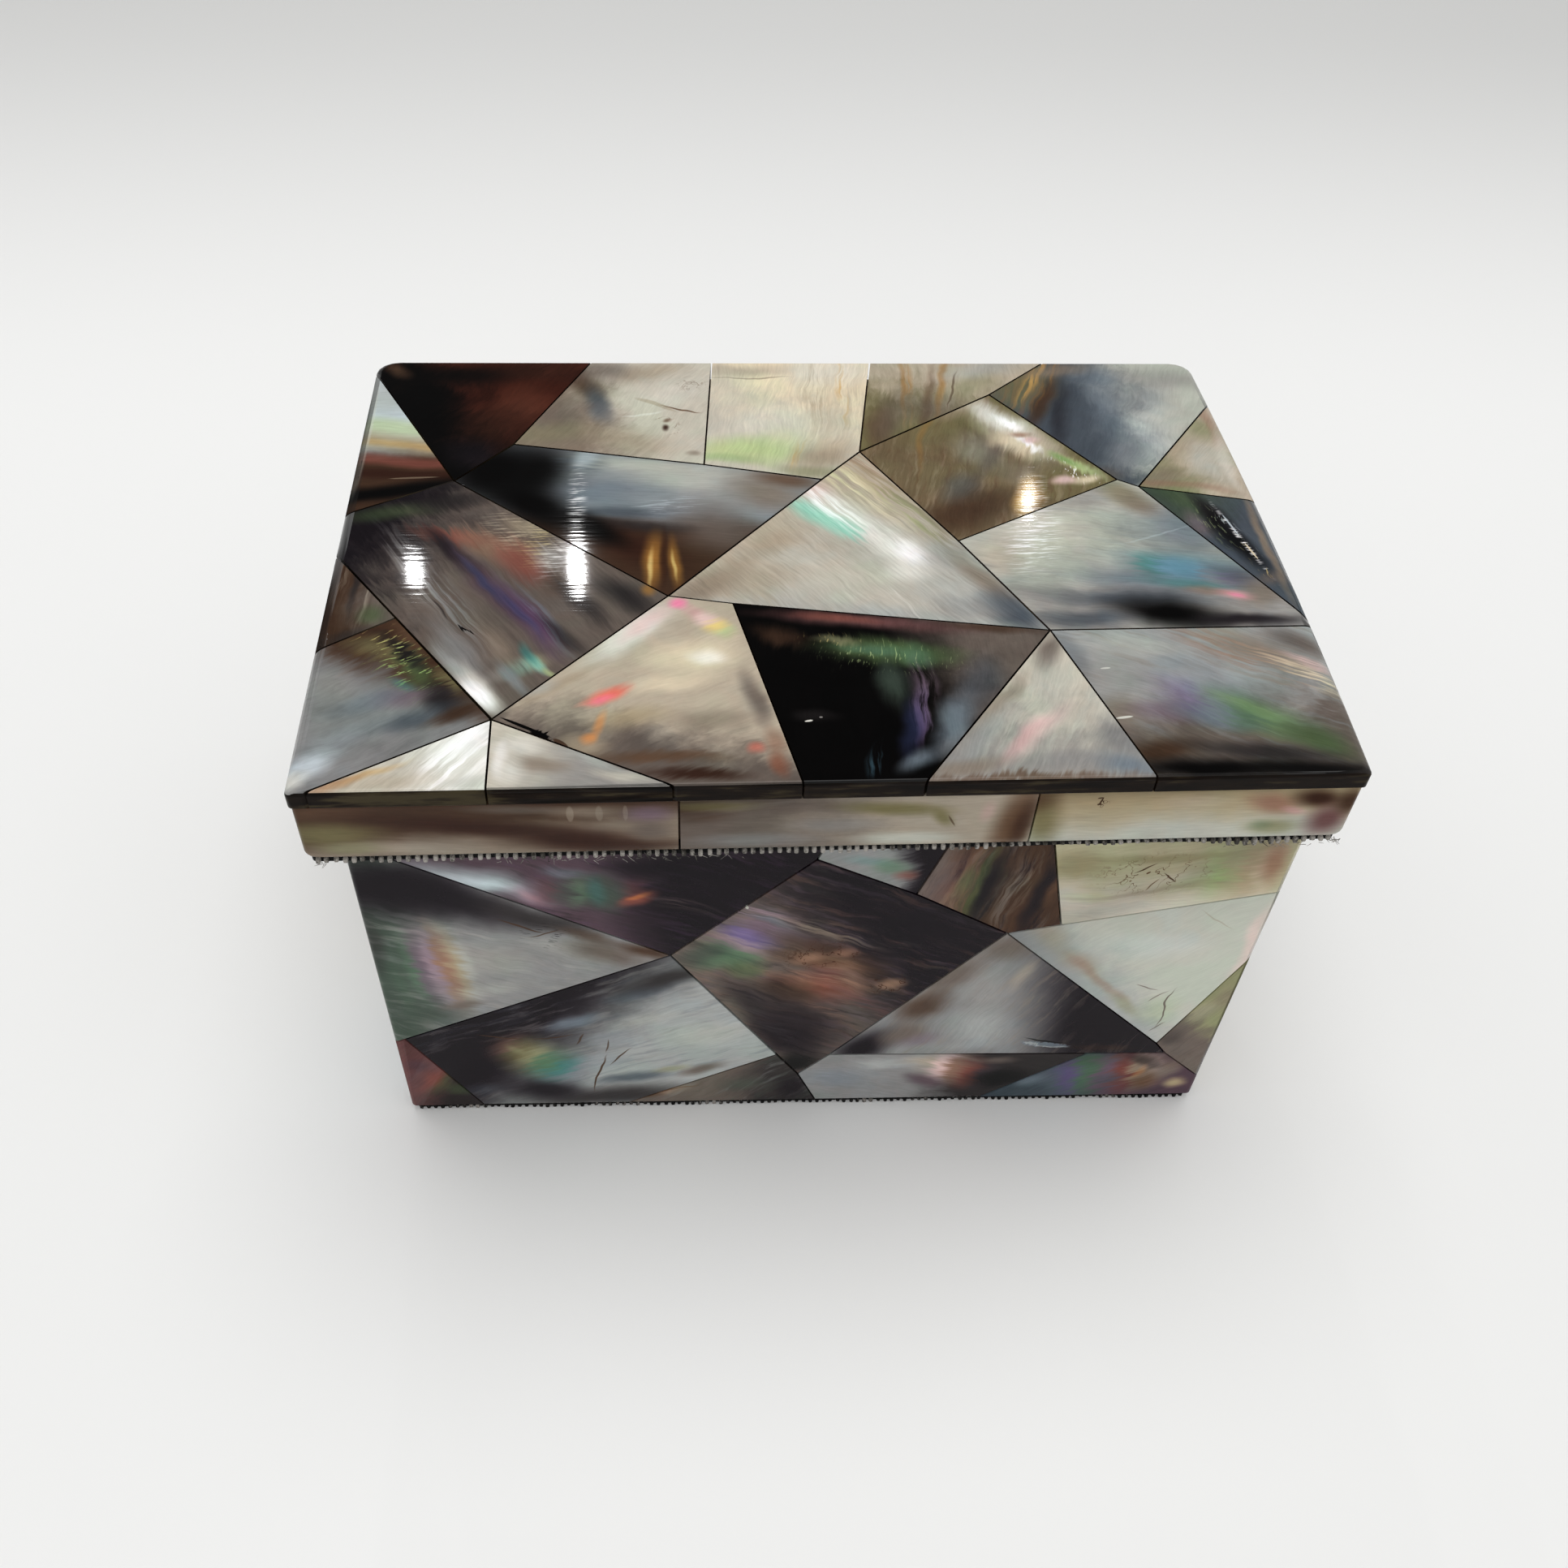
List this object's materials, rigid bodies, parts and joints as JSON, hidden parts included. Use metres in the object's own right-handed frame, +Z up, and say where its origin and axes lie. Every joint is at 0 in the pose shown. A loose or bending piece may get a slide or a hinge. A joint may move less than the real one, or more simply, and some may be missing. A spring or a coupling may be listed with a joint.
{
  "type": "shell trinket box",
  "caption": "Rectangular trinket box clad in polished blacklip mother-of-pearl mosaic, with an overhanging lift-off lid and a ribbed cloth lining.",
  "frame": {"origin": "bottom centre of the whole box, on the surface that it stands on", "axes": "+Z up, -Y towards the front, +X to the right seen from the front; the box is square to the axes and the loose lid is turned 1.2 degrees on it"},
  "size_m": [0.1522, 0.109, 0.0905],
  "materials": {
    "shell_pearl": "polished",
    "shell_silver": "polished",
    "shell_sand": "polished",
    "shell_smoke": "polished",
    "shell_umber": "polished",
    "shell_night": "polished",
    "wood": "matte",
    "lining_cloth": "matte",
    "base_cloth": "matte"
  },
  "bodies": {
    "root": {"back_mosaic": "shell_smoke", "base_cloth": "base_cloth", "box_carcass": "wood", "box_lining": "lining_cloth", "front_tile_01": "shell_silver", "front_tile_02": "shell_smoke", "front_tile_03": "shell_umber", "front_tile_04": "shell_smoke", "front_tile_05": "shell_umber", "front_tile_06": "shell_sand", "front_tile_07": "shell_pearl", "front_tile_08": "shell_smoke", "front_tile_09": "shell_smoke", "front_tile_10": "shell_pearl", "front_tile_11": "shell_smoke", "front_tile_12": "shell_umber", "front_tile_13": "shell_silver", "front_tile_14": "shell_night", "left_mosaic": "shell_silver", "lid_back_strip_1": "shell_silver", "lid_back_strip_2": "shell_sand", "lid_back_strip_3": "shell_pearl", "lid_board": "wood", "lid_cloth": "lining_cloth", "lid_front_strip_1": "shell_sand", "lid_front_strip_2": "shell_pearl", "lid_front_strip_3": "shell_sand", "lid_left_strip_1": "shell_sand", "lid_left_strip_2": "shell_silver", "lid_right_strip_1": "shell_pearl", "lid_right_strip_2": "shell_sand", "lid_tile_01": "shell_pearl", "lid_tile_02": "shell_night", "lid_tile_03": "shell_sand", "lid_tile_04": "shell_pearl", "lid_tile_05": "shell_sand", "lid_tile_06": "shell_smoke", "lid_tile_07": "shell_sand", "lid_tile_08": "shell_smoke", "lid_tile_09": "shell_pearl", "lid_tile_10": "shell_sand", "lid_tile_11": "shell_silver", "lid_tile_12": "shell_umber", "lid_tile_13": "shell_smoke", "lid_tile_14": "shell_umber", "lid_tile_15": "shell_smoke", "lid_tile_16": "shell_pearl", "lid_tile_17": "shell_night", "lid_tile_18": "shell_silver", "lid_tile_19": "shell_silver", "lid_tile_20": "shell_pearl", "lid_tile_21": "shell_pearl", "right_mosaic": "shell_sand"}
  },
  "joints": []
}
